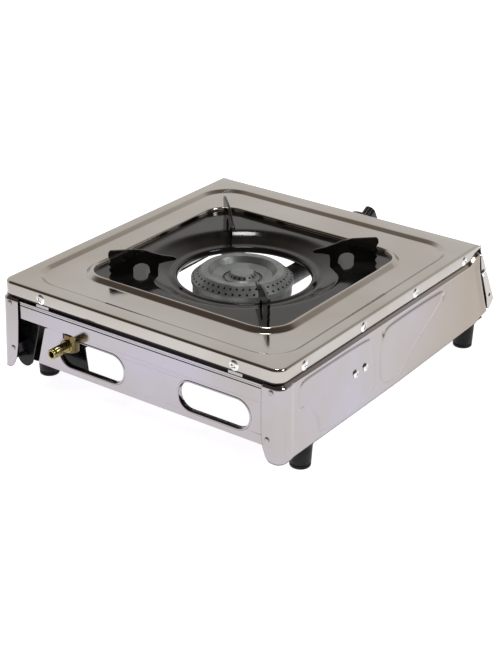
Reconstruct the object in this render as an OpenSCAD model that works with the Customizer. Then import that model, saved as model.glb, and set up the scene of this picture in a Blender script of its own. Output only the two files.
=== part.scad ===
// Single-burner table-top gas stove.
// Frame: +Z up, the knob faces -Y, the gas inlet is at the back, +Y.
// The origin is on the table, under the middle of the whole object.
// Every module draws in the body's own frame, centred on the top cover, and place()
// moves it into the part's frame.

/* [Body] */
// Width of the top cover
body_w = 330; // [320:1:340]
// Depth of the top cover's flat part, measured to the back edge from the body centre, twice
body_d = 362; // [356:1:368]
// Height of the cover's border above the table
top_h = 120; // [118:0.5:122]
// Thickness of the sheet metal
sheet = 1; // [0.8:0.1:1]
// Height of the cover's folded flange
flange_h = 13.5; // [12:0.5:14]
// Lean of the front panel from the vertical, in degrees
tilt = 29.6; // [28:0.2:31]
// Radius of the cover's vertical back corners
corner_r = 10; // [8:1:12]

/* [Hob] */
// Distance of the tray's centre behind the cover's centre
hob_y = 4; // [2:1:6]
// Depth of the cover's recessed field
recess = 3; // [2:0.5:3.5]
// Side of the square foot of the lip round the tray
lip_w = 245; // [243:1:247]
// Corner radius of the lip's foot
lip_r = 34; // [32:1:36]
// Radius of the tray's round dish
dish_r = 100; // [98:1:102]
// Radius of the tray's central hole
hole_r = 69; // [67:0.5:70]
// Thickness of a pan-support fin
fin_t = 2.6; // [2:0.2:3]

/* [Burner] */
// Distance of the burner's centre behind the cover's centre
burner_y = 8; // [6:0.5:9]
// Outer radius of the ring cap at its foot
ring_r = 52; // [51.5:0.5:53]
// Number of gas ports in each row of the ring cap
ring_ports = 44; // [36:1:48]
// Number of gas ports in the centre cap
centre_ports = 16; // [12:1:18]
// Radius of a gas port
port_r = 1.2; // [0.9:0.1:1.3]

/* [Feet] */
// Radius of a foot where it stands on the table
foot_r = 10.2; // [9.5:0.1:10.5]
// Distance of the back feet from the middle plane
foot_back_x = 156; // [154:0.5:156]
// Distance of the front feet from the middle plane
foot_front_x = 154.5; // [153:0.5:156]
// Place of the back feet behind the cover's centre
foot_back = 130; // [125:1:135]
// Place of the front feet before the cover's centre
foot_front = 187; // [184:1:188]

/* [Valve] */
// Distance of the knob from the middle plane, towards the user's left
knob_x = 8; // [4:1:12]
// Height of the knob's axis at the panel
knob_z = 87.5; // [84:0.5:89]
// Travel of the knob when it is pushed
knob_push = 3; // [2:0.5:3]
// Radius of the knob's skirt
skirt_r = 24; // [22:0.5:25]

/* [Hidden] */
CORNERS = ["front_left", "front_right", "back_left", "back_right"];
FINS = 4;

// Whole object: from the front panel's knob to the nozzle's tip
body_y = 16;
eps = 0.05;

// Front fold: where the top plane and the sloped front plane would cross, and the bend
front_edge = -body_d / 2 - 4.6;
bend_r = 9;

// Heights
field_z = top_h - recess;
lip_z = top_h + 1.2;
tray_z = top_h - 4;
ring_foot_z = top_h - 17;
crown_z = top_h - 4.4;
deck_z = ring_foot_z + 2.5;
shelf_z = 115;

// Side panels: the inner tab, the shoulder and the flared skin
skin_x = body_w / 2 + 3;
skin_top = 101.6;
skin_low = 26.8;
skin_back = 182.5;
wrap_r = 9;
flare = 1.2;
side_screw_y = [143, 43, -54, -154];
side_screw_z = top_h - 7.5;
flange_head_r = 5.3;
bar_y = 50;
bar_screw_y = [bar_y - 8.7, bar_y + 8.7];
bar_screw_z = 70;
bar_z = 60;

// Back panel
strip_y = 180.5;
lower_y = 177.5;
panel_low = 39;
ledge_z = 84.5;
slot_z = 62;
slot_w = 82;
slot_h = 30;
slot_x = [-90, 57];
back_screw_x = 115.7;
rivets = [[156.6, 98], [154, 50]];

// Front panel
panel_foot_z = 43.5;
front_w = body_w + 3;
front_screw = [-199.4, 83.8];
front_hole = [-218, 51.7];

// Feet
foot_tab_back = 28;
foot_tab_front = 31;
foot_screw_r = 2.5;
foot_places = [[foot_back_x, foot_back, foot_tab_back], [foot_front_x, -foot_front, foot_tab_front]];

// Inlet and pipe
inlet_x = 83;
inlet_y = 175;
inlet_z = 72;
nozzle_tip = 205;
nozzle_r = 5.2;
nut_z = 77;
nut_h = 6.5;
pipe_r = 4;
pipe_z = 96.5;
pipe_bend = 10;
rail_y = -178;
rail_end = -30;

// Burner
tube_z = 84;
tube_r = 10;
tube_bore = 8.5;
tube_front = -156;
tube_back = burner_y - 42;
shutter_len = 22;
bowl_r = 50.5;
hub_r = 19.5;
stem_r = 5;

// Valve, measured along its axis from the panel's outer face, outwards positive
spindle_r = 3;
fit = 0.05;
spindle_flat = 2.2;
cap_top = -3;
cap_foot = -5;
plug_top = -14.6;
plug_foot = -30;
plug_r1 = 7.4;
plug_r2 = 5.6;
valve_foot = -33;
valve_r = 13;
skirt_z = 8;
grip_z = 29.5;

function front_y(z, t = 0) = front_edge - (top_h - z) * tan(tilt) + t / cos(tilt);
function lean(z) = (skin_top - z) * tan(flare);
function flare_x(z) = skin_x + lean(z);

// ---------- helpers ----------

module place() translate([0, body_y, 0]) children();

module hob() translate([0, hob_y, 0]) children();

module burner() translate([0, burner_y, 0]) children();

// A rectangle with round corners, centred
module round_rect(w, d, r) {
    square([w - 2 * r, d], center = true);
    square([w, d - 2 * r], center = true);
    for (x = [-1, 1], y = [-1, 1])
        translate([x * (w / 2 - r), y * (d / 2 - r)]) circle(r, $fn = 48);
}

// Sweeps a profile round a rounded rectangle: the profile's x is measured outwards from
// the rectangle's edge and its y is the height
module ring_sweep(w, d, r) {
    for (turn = [0, 180]) {
        rotate([0, 0, turn]) translate([w / 2, 0, 0]) rotate([90, 0, 0])
            linear_extrude(d - 2 * r, center = true) children();
        rotate([0, 0, turn + 90]) translate([d / 2, 0, 0]) rotate([90, 0, 0])
            linear_extrude(w - 2 * r, center = true) children();
    }
    for (k = [0:3])
        translate([(w / 2 - r) * (k == 0 || k == 3 ? 1 : -1), (d / 2 - r) * (k < 2 ? 1 : -1), 0])
            rotate([0, 0, 90 * k]) rotate_extrude(angle = 90, $fn = 96) translate([r, 0]) children();
}

// Draws a side view, with x as Y and y as Z, and extrudes it along X from x0 to x1
module side_view(x0, x1) translate([x0, 0, 0]) rotate([90, 0, 90]) linear_extrude(x1 - x0) children();

// Draws a back view, with x as X and y as Z, and extrudes it along Y from y0 to y1
module back_view(y0, y1) translate([0, y1, 0]) rotate([90, 0, 0]) linear_extrude(y1 - y0) children();

module along_x(r, x0, x1) translate([x0, 0, 0]) rotate([0, 90, 0]) cylinder(h = x1 - x0, r = r, $fn = 40);

module along_y(r, y0, y1) translate([0, y0, 0]) rotate([-90, 0, 0]) cylinder(h = y1 - y0, r = r, $fn = 40);

module box(x0, x1, y0, y1, z0, z1) translate([x0, y0, z0]) cube([x1 - x0, y1 - y0, z1 - z0]);

// A slot with round ends, centred, lying along X
module stadium(w, h) {
    square([w - h, h], center = true);
    for (x = [-1, 1]) translate([x * (w - h) / 2, 0]) circle(h / 2, $fn = 48);
}

// A low round screw head with its base on z = 0 and its shank below
module pan_screw(head_r, head_h, shank_r, shank) {
    ball = (head_r * head_r + head_h * head_h) / (2 * head_h);
    intersection() {
        cylinder(h = head_h, r = head_r, $fn = 32);
        translate([0, 0, head_h - ball]) sphere(ball, $fn = 48);
    }
    translate([0, 0, -shank]) cylinder(h = shank, r = shank_r, $fn = 24);
}

// The same thing on the side x = +1 or -1
module on_side(side) mirror([side > 0 ? 0 : 1, 0, 0]) children();

// The knob's axis: local z points out of the front panel
module valve_axis() translate([-knob_x, front_y(knob_z), knob_z]) rotate([90 - tilt, 0, 0]) children();

// ---------- body ----------

// Everything under the cover's skin at depth t below its outer face, down to height z0
module cover_block(t, z0) {
    centre = [front_edge + bend_r * tan((90 - tilt) / 2), top_h - bend_r];
    intersection() {
        side_view(-body_w / 2 + t, body_w / 2 - t) {
            polygon([
                [body_d / 2 - t, z0], [body_d / 2 - t, top_h - t], [centre.x, top_h - t], centre,
                centre + (bend_r - t) * [-cos(tilt), sin(tilt)], [front_y(z0, t), z0]
            ]);
            translate(centre) circle(bend_r - t, $fn = 64);
        }
        translate([0, -60, z0]) linear_extrude(2 * top_h)
            round_rect(body_w - 2 * t, body_d + 120 - 2 * t, corner_r - t);
    }
}

module top_cover() color([0.72, 0.71, 0.68]) {
    flange_z = top_h - flange_h;
    step_w = 306;
    step_d = 327;
    step_r = 36;
    step_run = 5;
    lip_in = 6.5;
    difference() {
        cover_block(0, flange_z);
        cover_block(sheet, flange_z - 5);
        linear_extrude(2 * top_h) round_rect(step_w, step_d, step_r);
        for (side = [-1, 1], y = side_screw_y)
            translate([0, y, side_screw_z]) on_side(side) along_x(2.1, body_w / 2 - 5, body_w / 2 + 5);
        for (side = [-1, 1])
            translate([side * back_screw_x, 0, side_screw_z]) along_y(2.1, body_d / 2 - 5, body_d / 2 + 5);
    }
    ring_sweep(step_w, step_d, step_r)
        polygon([[0, top_h], [0, top_h - sheet], [-step_run, field_z - sheet], [-step_run, field_z]]);
    difference() {
        translate([0, 0, field_z - sheet]) linear_extrude(sheet)
            round_rect(step_w - 2 * step_run, step_d - 2 * step_run, step_r - step_run);
        hob() linear_extrude(2 * top_h) round_rect(lip_w, lip_w, lip_r);
    }
    hob() ring_sweep(lip_w, lip_w, lip_r)
        polygon([
            [0, field_z], [0, field_z - sheet], [-0.6, field_z - sheet], [-4.9, lip_z - sheet],
            [-lip_in + sheet, lip_z - sheet], [-lip_in + sheet, shelf_z], [-lip_in + sheet, shelf_z - sheet],
            [-lip_in - 6, shelf_z - sheet], [-lip_in - 6, shelf_z], [-lip_in, shelf_z],
            [-lip_in, lip_z], [-4.5, lip_z]
        ]);
}

module side_panel(side) color([0.74, 0.72, 0.72]) on_side(side) {
    tab_x = body_w / 2 - sheet - 0.1;
    run = wrap_r - (skin_x - tab_x);
    corner = [skin_x - wrap_r, skin_back - wrap_r];
    low = skin_low - 4;
    skin = [
        [run, 105.4], [wrap_r, skin_top], [wrap_r + lean(low), low], [wrap_r + lean(low) - sheet, low],
        [wrap_r - sheet, skin_top - 0.3], [run - sheet, 105.1]
    ];
    difference() {
        union() {
            intersection() {
                union() {
                    translate([corner.x, 0, 0]) side_flank(-215, corner.y) polygon(skin);
                    translate(corner) rotate_extrude(angle = 90, $fn = 96) polygon(skin);
                    translate([0, corner.y, 0]) side_view(140, corner.x) polygon(skin);
                }
                side_view(100, 200)
                    polygon([
                        [-184.9, 110], [-184.9, 100], [-186.5, 88], [-204, 47], [-209, 37],
                        [-185, 30], [-20, skin_low], [200, skin_low], [200, 110]
                    ]);
                back_view(-220, 200)
                    polygon([
                        [146, 110], [146.3, 80], [147.5, 55], [151, 33], [153, 29.8], [157, 28],
                        [164, 26], [200, 20], [200, 110]
                    ]);
            }
            translate([corner.x, 0, 0]) side_flank(-179, 160)
                polygon([[run - sheet, 105], [run, 105], [run, 117.5], [run - sheet, 117.5]]);
            box(138, flare_x(foot_tab_back) - sheet / 2, foot_back - 22, 160, foot_tab_back, foot_tab_back + sheet);
            box(138, flare_x(foot_tab_front) - sheet / 2, -foot_front - 15, -foot_front + 17,
                foot_tab_front, foot_tab_front + sheet);
            box(tab_x + 0.5, skin_x - sheet / 2, -187, -184, 76, 90);
            side_view(tab_x + 0.5, tab_x + 1.4)
                polygon([[front_y(76, 1.5), 76], [-184, 76], [-184, 90], [front_y(90, 1.5), 90]]);
        }
        for (y = side_screw_y) translate([0, y, side_screw_z]) along_x(2.1, 150, 175);
        for (y = bar_screw_y) translate([0, y, bar_screw_z]) along_x(2.1, 150, 175);
        translate([0, front_screw[0], front_screw[1]]) along_x(2.1, 150, 175);
        for (p = rivets) translate([p[0], 0, p[1]]) along_y(2.1, 175, 190);
        for (p = foot_places) translate([p.x, p.y, 0]) cylinder(h = 40, r = foot_screw_r + 0.2, $fn = 32);
    }
}

// A profile with x measured sideways and y as the height, run along Y from y0 to y1
module side_flank(y0, y1) translate([0, y1, 0]) rotate([90, 0, 0]) linear_extrude(y1 - y0) children();

module back_panel() color([0.75, 0.74, 0.77]) {
    notch = 19;
    rim = 4;
    half = 160;
    difference() {
        union() {
            box(-half, half, strip_y - sheet, strip_y, ledge_z, 102);
            box(-half, half, strip_y - 15, strip_y, 101, 102);
            box(-half, half, lower_y - sheet, strip_y, ledge_z - sheet, ledge_z);
            box(-half, half, lower_y - sheet, lower_y, panel_low, ledge_z);
            box(-half + 16, 122, lower_y - 9, lower_y, panel_low, panel_low + sheet);
            for (side = [-1, 1])
                box(side * back_screw_x - 8, side * back_screw_x + 8, strip_y - 1.7, strip_y - 0.7, 101, 116);
            for (x = slot_x) translate([x, 0, slot_z]) back_view(lower_y - sheet - rim, lower_y)
                stadium(slot_w + 2 * sheet, slot_h + 2 * sheet);
        }
        for (x = slot_x) translate([x, 0, slot_z]) back_view(150, 200) stadium(slot_w, slot_h);
        box(inlet_x - notch / 2, inlet_x + notch / 2, 160, strip_y - sheet, slot_z, ledge_z + 1);
        back_view(160, 178)
            polygon([[107, ledge_z - sheet], [116, 80], [121, 60], [128.5, 30], [161, 30], [161, ledge_z - sheet]]);
        for (side = [-1, 1]) {
            translate([side * back_screw_x, 0, side_screw_z]) along_y(2.1, 170, 190);
            for (p = rivets) translate([side * p[0], 0, p[1]]) along_y(2.1, 170, 190);
        }
    }
}

module front_panel() color([0.74, 0.73, 0.71]) {
    top = top_h - flange_h;
    chin = [-219.5, 34.5];
    difference() {
        union() {
            side_view(-front_w / 2, front_w / 2)
                polygon([
                    [front_y(top + 6, 2.3), top + 6], [front_y(top - 1, 2.3), top - 1], [front_y(top - 2, 0), top - 2],
                    [front_y(panel_foot_z), panel_foot_z], chin, chin + [1.2, 0.8],
                    [front_y(panel_foot_z) + 1.5, panel_foot_z], [front_y(top - 2, sheet), top - 2],
                    [front_y(top - 1, 3.3), top - 1], [front_y(top + 6, 3.3), top + 6]
                ]);
            for (side = [-1, 1]) on_side(side) side_view(front_w / 2 - sheet, front_w / 2)
                polygon([
                    [front_y(top - 2), top - 2], [front_y(panel_foot_z), panel_foot_z], chin, [-215.5, 37.5],
                    [-212, 50], [-203, 70], [-194.5, 88], [front_y(top - 2) + 4, top - 2]
                ]);
        }
        valve_axis() cylinder(h = 20, r = 8, center = true, $fn = 48);
        for (side = [-1, 1]) {
            box(side * front_w / 2 - 4, side * front_w / 2 + 4, -200, -170, top - 1.9, top + 10);
            translate([0, front_screw[0], front_screw[1]]) on_side(side) along_x(2.1, 150, 175);
            translate([0, front_hole[0], front_hole[1]]) on_side(side) along_x(2.1, 150, 175);
        }
    }
}

// A black stay at the right back corner, hung from the back panel's top return
module corner_gusset() color([0.09, 0.09, 0.1]) {
    outer = 163.3;
    end_r = 10;
    top = 100.9;
    back_view(166, 168) {
        polygon([[128, top], [outer, top], [outer, 34], [outer - 2 * end_r, 34], [135, 65]]);
        translate([outer - end_r, 34]) circle(end_r, $fn = 48);
    }
    for (z = [38, 52, 66, 80]) box(148, 158, 168 - eps, 169.2, z, z + 3);
    box(outer - 2, outer, 150, 168, 40, top);
    difference() {
        box(148.5, 159.5, 168 - eps, skin_back - 1.2, 45, 55);
        translate([rivets[1][0], 0, rivets[1][1]]) along_y(2.1, 172, 190);
    }
    box(128, outer, 150, 168, top - 2, top);
}

// ---------- hob ----------

module drip_tray() color([0.05, 0.05, 0.05]) hob() {
    side = lip_w - 14;
    low = tray_z - sheet + eps;
    difference() {
        translate([0, 0, low]) linear_extrude(sheet - eps) round_rect(side, side, 26);
        cylinder(h = 2 * top_h, r = dish_r, $fn = 96);
    }
    rotate_extrude($fn = 96)
        polygon([
            [dish_r, low], [dish_r - 2, low - 0.4], [82.2, 107.4], [77, 106.1], [73.5, 106.1], [72.4, 107.3],
            [70.9, 107.3], [hole_r + 1.1, 106.6], [hole_r + 0.9, 103], [hole_r, 103], [hole_r, 107.2],
            [hole_r + 1.2, 108.4], [73, 108.4], [74.2, 107.2], [76.8, 107.2], [81.8, 108.5],
            [dish_r - 3, tray_z - 0.7], [dish_r - 1, tray_z], [dish_r, tray_z]
        ]);
}

// One fin: an outer leg on the tray's flat corner, an inner leg on the dish and an arm to the burner
module pan_support_fin(i) color([0.05, 0.05, 0.05]) hob() {
    rim = tray_z + 0.02;
    rotate([0, 0, 90 * i - 45]) translate([0, fin_t / 2, 0]) rotate([90, 0, 0]) linear_extrude(fin_t)
        polygon([
            [134, 142], [111, 142], [104, 141], [99, 139.8], [94, 137.6], [83, 134], [72, 132], [70, 131], [69.6, 129],
            [71, 128], [80, 127], [87, 125.2], [88, 120], [88, 111.5], [96, 115.1], [97, 122], [99, 125],
            [103, 126.6], [107, 126.6], [111, 125], [113, 122], [113, rim], [134.5, rim], [136, 118.5],
            [137.4, 121], [135.4, 124], [137.8, 127.5], [135.6, 131.5], [138, 136], [137.4, 140], [136, 141.6]
        ]);
}

module burner_ring_cap() color([0.55, 0.55, 0.53]) burner() {
    foot = ring_foot_z;
    bevel_lean = 41;
    rows = [[49.8, foot + 5.9, 0], [45.4, foot + 9.8, 0.5]];
    difference() {
        rotate_extrude($fn = 96)
            polygon([
                [ring_r, foot], [ring_r, foot + 4], [42.7, crown_z - 0.5], [41.9, crown_z], [35.5, crown_z],
                [34.7, crown_z - 0.5], [30.5, crown_z - 6.2], [hub_r + 0.7, foot + 3.6], [hub_r + 0.7, foot],
                [hub_r + 3, foot], [hub_r + 3, foot + 2], [31.5, crown_z - 9], [36.6, crown_z - 3.2],
                [40.8, crown_z - 3.2], [ring_r - 3, foot + 2.6],
                [ring_r - 3, foot]
            ]);
        for (row = rows, k = [1:ring_ports])
            rotate([0, 0, 360 * (k + row[2]) / ring_ports]) translate([row[0], 0, row[1]])
                rotate([0, bevel_lean, 0]) cylinder(h = 9, r = port_r, center = true, $fn = 16);
    }
}

module burner_centre_cap() color([0.55, 0.55, 0.53]) burner() {
    foot = deck_z;
    lean = 56;
    difference() {
        rotate_extrude($fn = 64)
            polygon([
                [0, foot - 6], [stem_r - 0.08, foot - 6], [stem_r - 0.08, foot + 4.5], [9.4, foot + 4.9],
                [12, foot + 1.4], [15, foot], [18, foot], [18, foot + 1], [17.4, foot + 1.6],
                [14.4, foot + 3], [11.9, foot + 6.8], [11.1, foot + 7.3], [0, foot + 7]
            ]);
        for (k = [1:centre_ports])
            rotate([0, 0, 360 * k / centre_ports]) translate([13.1, 0, foot + 4.9])
                rotate([0, lean, 0]) cylinder(h = 7, r = port_r - 0.1, center = true, $fn = 16);
    }
}

module burner_bowl() color([0.3, 0.3, 0.3]) burner() {
    rim = ring_foot_z;
    low = 76;
    post_y = bar_y - 2 - burner_y;
    difference() {
        union() {
            rotate_extrude($fn = 96)
                polygon([
                    [0, low], [30, low], [bowl_r, low + 16], [bowl_r, rim], [bowl_r - 3, rim],
                    [bowl_r - 3, low + 17.5], [28.5, low + 3], [hub_r + 3, low + 3], [hub_r + 3, rim],
                    [hub_r, rim], [hub_r, deck_z], [0, deck_z], [0, rim - 1.5], [hub_r, rim - 1.5],
                    [hub_r, low + 3], [0, low + 3]
                ]);
            translate([-knob_x, 0, tube_z]) along_y(tube_r + 3.5, -58, -38);
            translate([0, post_y, bar_z + 2.05]) cylinder(h = 24, r = 8, $fn = 40);
        }
        translate([-knob_x, 0, tube_z]) along_y(tube_bore, -60, -10);
        translate([-knob_x, 0, tube_z]) along_y(tube_r + 0.02, -60, -42);
        translate([0, post_y, bar_z]) cylinder(h = 17, r = 2.6, $fn = 32);
        cylinder_z(stem_r, rim - 3, deck_z + 1);
        for (k = [0:5]) rotate([0, 0, 60 * k]) translate([10.5, 0, rim - 3]) cylinder(h = 7, r = 2.2, $fn = 24);
    }
}

module mixing_tube() color([0.4, 0.4, 0.4]) translate([-knob_x, 0, tube_z]) {
    shoulder = tube_front + 2 + shutter_len;
    difference() {
        union() {
            along_y(tube_r, tube_front, tube_back);
            along_y(tube_r + 2, tube_front, tube_front + 1.9);
            along_y(tube_r + 2, shoulder + 0.1, shoulder + 2);
        }
        along_y(tube_bore, tube_front - 1, tube_back + 1);
        box(-4.5, 4.5, tube_front + 6, shoulder - 4, -20, 20);
    }
}

module air_shutter() color([0.7, 0.6, 0.35]) translate([-knob_x, 0, tube_z]) {
    start = tube_front + 2;
    difference() {
        union() {
            along_y(tube_r + 1.4, start, start + shutter_len);
            box(-1, 1, start + 8, start + 14, -22, -tube_r - 0.6);
        }
        along_y(tube_r + 0.07, start - 1, start + shutter_len + 1);
        box(-4.5, 4.5, start + 4, start + shutter_len - 4, 0, 20);
        rotate([0, 70, 0]) box(-4.5, 4.5, start + 4, start + shutter_len - 4, -20, 0);
    }
}

module burner_support_bar() color([0.6, 0.6, 0.6]) {
    half = skin_x - sheet + 0.2;
    difference() {
        union() {
            box(-half, half, bar_y - 15, bar_y + 15, bar_z, bar_z + 2);
            for (side = [-1, 1]) on_side(side) box(half - 1.5, half, bar_y - 15, bar_y + 15, bar_z, bar_z + 20);
        }
        translate([0, bar_y - 2, 0]) cylinder(h = 100, r = 2.7, $fn = 32);
        for (side = [-1, 1], y = bar_screw_y)
            translate([0, y, bar_screw_z]) on_side(side) along_x(2.1, 150, 175);
    }
}

module burner_screw() color([0.7, 0.7, 0.72])
    translate([0, bar_y - 2, bar_z]) rotate([180, 0, 0]) pan_screw(5, 2.8, 2.5, 15);

// ---------- feet ----------

module foot(x, y, top) color([0.06, 0.06, 0.07]) translate([x, y, 0]) difference() {
    rotate_extrude($fn = 64)
        polygon([
            [0, 0], [foot_r - 0.8, 0], [foot_r, 0.8], [foot_r + 1.2, top - 5], [foot_r + 1.6, top - 2.5],
            [foot_r + 1.9, top], [0, top]
        ]);
    translate([0, 0, -1]) cylinder(h = top + 2, r = foot_screw_r + 0.1, $fn = 32);
    translate([0, 0, -1]) cylinder(h = 9, r = 5.6, $fn = 32);
}

module foot_at(corner) {
    side = corner == "front_left" || corner == "back_left" ? -1 : 1;
    spot = corner == "front_left" || corner == "front_right" ? foot_places[1] : foot_places[0];
    foot(side * spot.x, spot.y, spot.z);
}

module foot_screws() color([0.7, 0.7, 0.72]) for (side = [-1, 1], spot = foot_places)
    translate([side * spot.x, spot.y, 8]) rotate([180, 0, 0]) pan_screw(5, 2.8, foot_screw_r, spot.z + sheet - 2);

module foot_nuts() color([0.7, 0.7, 0.72]) for (side = [-1, 1], spot = foot_places)
    translate([side * spot.x, spot.y, spot.z + sheet]) difference() {
        cylinder(h = 4, r = 4.7, $fn = 6);
        translate([0, 0, -1]) cylinder(h = 6, r = foot_screw_r + 0.05, $fn = 32);
    }

// ---------- gas inlet and pipe ----------

module gas_pipe() color([0.62, 0.6, 0.55]) {
    rise = pipe_z - pipe_bend;
    turn_x = inlet_x - pipe_bend;
    translate([inlet_x, inlet_y, nut_z + 3]) cylinder(h = rise - nut_z - 3, r = pipe_r, $fn = 40);
    translate([inlet_x, inlet_y - pipe_bend, rise]) rotate([90, 0, 90])
        rotate_extrude(angle = 90, $fn = 64) translate([pipe_bend, 0]) circle(pipe_r, $fn = 40);
    translate([inlet_x, 0, pipe_z]) along_y(pipe_r, rail_y + pipe_bend, inlet_y - pipe_bend);
    translate([turn_x, rail_y + pipe_bend, pipe_z]) rotate([0, 0, -90])
        rotate_extrude(angle = 90, $fn = 64) translate([pipe_bend, 0]) circle(pipe_r, $fn = 40);
    translate([0, rail_y, pipe_z]) along_x(pipe_r, rail_end, turn_x);
}

module pipe_nut() color([0.72, 0.55, 0.28]) translate([inlet_x, inlet_y, nut_z]) difference() {
    cylinder(h = nut_h, r = 8.1, $fn = 6);
    translate([0, 0, -1]) cylinder(h = 5, r = 6.05, $fn = 40);
    translate([0, 0, 2]) cylinder(h = nut_h, r = pipe_r + 0.05, $fn = 40);
}

module inlet_elbow() color([0.72, 0.55, 0.28]) translate([inlet_x, inlet_y, 0]) difference() {
    union() {
        cylinder_z(7, inlet_z - 7, nut_z);
        cylinder_z(6, nut_z - 1, nut_z + 3);
    }
    cylinder_z(2.5, inlet_z - 2, nut_z + 10);
    translate([0, 0, inlet_z]) along_y(4.55, -1, 20);
}

module cylinder_z(r, z0, z1) translate([0, 0, z0]) cylinder(h = z1 - z0, r = r, $fn = 40);

module hose_nozzle() color([0.78, 0.6, 0.3]) translate([inlet_x, 0, inlet_z]) {
    seat = inlet_y - 0.9;
    groove = nozzle_tip - 4;
    difference() {
        union() {
            along_y(4.5, seat, inlet_y + 8);
            along_y(6.4, inlet_y + 7.1, inlet_y + 9);
            along_y(nozzle_r, inlet_y + 8, groove);
            along_y(nozzle_r - 0.5, groove - 1, groove + 2);
            along_y(nozzle_r, groove + 1.2, nozzle_tip);
        }
        along_y(2.9, seat - 1, nozzle_tip + 1);
    }
}

module inlet_bracket() color([0.09, 0.09, 0.1]) difference() {
    union() {
        back_view(156, 157.5) polygon([[84.5, 101], [112, 101], [112, 36], [79, 36], [82.7, 62], [83, 92]]);
        box(89, 112, 156, 176, 99.5, 101);
        box(83, 84.5, 145, 157, 60, 91);
    }
    box(70, inlet_x + 5, 140, 160, pipe_z - 5, 110);
}

// ---------- valve ----------

module valve_body() color([0.7, 0.56, 0.32]) {
    block_top = pipe_z - 1.5;
    difference() {
        union() {
            valve_axis() translate([0, 0, valve_foot]) cylinder(h = cap_foot - valve_foot, r = valve_r, $fn = 64);
            box(-knob_x - 7, -knob_x + 7, rail_y - 11, rail_y + 11, 66, block_top);
            translate([-knob_x, 0, tube_z]) along_y(6.5, -185, -166);
        }
        valve_axis() {
            translate([0, 0, plug_top]) cylinder(h = 40, r = plug_r1 + 0.1, $fn = 64);
            translate([0, 0, plug_foot])
                cylinder(h = plug_top - plug_foot, r1 = plug_r2 + fit, r2 = plug_r1 + fit, $fn = 64);
            translate([0, 0, plug_foot - 1]) cylinder(h = 1, r = plug_r2 + fit, $fn = 64);
        }
        translate([0, rail_y, pipe_z]) along_x(pipe_r + 0.05, -50, 50);
        translate([-knob_x, 0, tube_z]) along_y(3.5, -174.5, -160);
        for (y = [-7.5, 7.5])
            translate([-knob_x, rail_y + y, pipe_z - 8]) cylinder(h = 30, r = 1.55, $fn = 24);
    }
}

module valve_cap_plate() color([0.68, 0.68, 0.7]) valve_axis() difference() {
    translate([0, 0, cap_foot]) cylinder(h = cap_top - cap_foot, r = valve_r, $fn = 64);
    cylinder(h = 40, r = spindle_r + fit, center = true, $fn = 48);
}

module valve_clamp() color([0.68, 0.68, 0.7]) difference() {
    box(-knob_x - 6, -knob_x + 6, rail_y - 10, rail_y + 10, pipe_z - 1.4, pipe_z + 6);
    translate([0, rail_y, pipe_z]) along_x(pipe_r + 0.05, -50, 50);
    for (y = [-7.5, 7.5]) translate([-knob_x, rail_y + y, 84]) cylinder(h = 30, r = 1.55, $fn = 24);
}

module valve_screws() color([0.7, 0.7, 0.72]) for (y = [-7.5, 7.5])
    translate([-knob_x, rail_y + y, pipe_z + 6]) pan_screw(2.4, 1.6, 1.5, 13);

// A shaft with one flat
module d_shaft(r, flat, z0, z1) intersection() {
    cylinder_z(r, z0, z1);
    box(-r - 1, r + 1, -r - 1, flat, z0 - 1, z1 + 1);
}

module valve_plug() color([0.72, 0.55, 0.28]) valve_axis() difference() {
    translate([0, 0, plug_foot]) cylinder(h = plug_top - plug_foot, r1 = plug_r2, r2 = plug_r1, $fn = 64);
    d_shaft(spindle_r + fit, spindle_flat + fit, -25, 0);
    translate([0, 0, -28]) rotate([0, 90, 0]) cylinder(h = 30, r = 1.6, center = true, $fn = 24);
}

module valve_spindle() color([0.72, 0.72, 0.74]) valve_axis() {
    d_shaft(spindle_r, spindle_flat, -20, -cap_top);
    d_shaft(spindle_r - fit, spindle_flat - fit, -cap_top - 1, 22);
    cylinder_z(4.8, cap_foot - 1.2, cap_foot - 0.15);
}

// A wire swept along a helix, as rings of points
module valve_spring() color([0.75, 0.75, 0.77]) valve_axis() {
    coil_r = 4.3;
    wire_r = 0.45;
    low = plug_top + wire_r + 0.05;
    high = cap_foot - 1.2 - wire_r - 0.05;
    turns = 4;
    per_turn = 18;
    sides = 8;
    steps = turns * per_turn;
    points = [
        for (i = [0:steps], j = [0:sides - 1])
            let (a = 360 * i / per_turn, b = 360 * j / sides, r = coil_r + wire_r * cos(b))
            [r * cos(a), r * sin(a), low + (high - low) * i / steps + wire_r * sin(b)]
    ];
    walls = [
        for (i = [0:steps - 1], j = [0:sides - 1])
            let (n = (j + 1) % sides)
            [i * sides + j, i * sides + n, (i + 1) * sides + n, (i + 1) * sides + j]
    ];
    polyhedron(points, concat(
        walls, [[for (j = [0:sides - 1]) sides - 1 - j]], [[for (j = [0:sides - 1]) steps * sides + j]]
    ));
}

module jet() color([0.78, 0.6, 0.3]) translate([-knob_x, 0, tube_z]) difference() {
    union() {
        along_y(3.4, -173, -165);
        translate([0, -165.9, 0]) rotate([-90, 0, 0]) cylinder(h = 4.9, r = 5.8, $fn = 6);
        translate([0, -161.5, 0]) rotate([-90, 0, 0]) cylinder(h = 9.5, r1 = 4, r2 = 1.8, $fn = 32);
    }
    along_y(0.6, -180, -150);
    along_y(1.8, -180, -156);
}

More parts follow.
